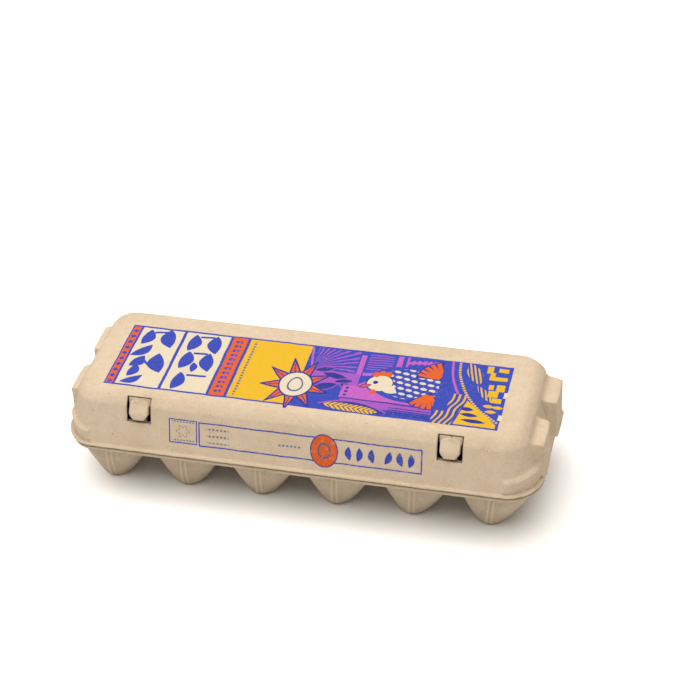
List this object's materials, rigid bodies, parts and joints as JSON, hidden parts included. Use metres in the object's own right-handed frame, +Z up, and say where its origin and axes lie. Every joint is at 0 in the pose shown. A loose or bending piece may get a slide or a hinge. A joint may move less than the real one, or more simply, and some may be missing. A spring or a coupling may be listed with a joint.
{
  "type": "egg carton",
  "caption": "Moulded-pulp egg carton with a cupped tray, a hinged lid with end pads and a press-in lock flap whose buttons catch two lid windows.",
  "frame": {"origin": "on the floor, under the centre of the closed carton's bounding box", "axes": "+X along the length to the right, -Y towards the front with the lock windows, +Y towards the rear hinge, +Z up"},
  "size_m": [0.3046, 0.107, 0.074],
  "materials": {
    "moulded_pulp": "matt, fibrous",
    "printed_pulp": "matt, fibrous, printed in flat inks"
  },
  "bodies": {
    "tray": {"tray_deck": "moulded_pulp", "egg_cup_front_1": "moulded_pulp", "egg_cup_front_2": "moulded_pulp", "egg_cup_front_3": "moulded_pulp", "egg_cup_front_4": "moulded_pulp", "egg_cup_front_5": "moulded_pulp", "egg_cup_front_6": "moulded_pulp", "egg_cup_rear_1": "moulded_pulp", "egg_cup_rear_2": "moulded_pulp", "egg_cup_rear_3": "moulded_pulp", "egg_cup_rear_4": "moulded_pulp", "egg_cup_rear_5": "moulded_pulp", "egg_cup_rear_6": "moulded_pulp", "centre_post_1": "moulded_pulp", "centre_post_2": "moulded_pulp", "centre_post_3": "moulded_pulp", "centre_post_4": "moulded_pulp", "centre_post_5": "moulded_pulp", "rear_hinge_web": "moulded_pulp", "front_hinge_web": "moulded_pulp"},
    "lid": {"lid_shell": "printed_pulp", "lid_rim": "moulded_pulp"},
    "lock_flap": {"lock_flap_panel": "moulded_pulp", "lock_button_left": "moulded_pulp", "lock_button_right": "moulded_pulp"}
  },
  "joints": [
    {"name": "lid_hinge", "type": "hinge", "parent": "tray", "child": "lid", "pos_m": [0, 0.0536, 0.03845], "axis": [-1, 0, 0], "range_deg": [0, 175], "deforming": ["rear_hinge_web", "lock_button_left", "lock_button_right"]},
    {"name": "flap_fold", "type": "hinge", "parent": "tray", "child": "lock_flap", "pos_m": [0, -0.04812, 0.0387], "axis": [-1, 0, 0], "range_deg": [0, 15], "stiffness_Nm_per_rad": 0.02, "springref_deg": -5.73, "deforming": ["front_hinge_web"]}
  ]
}
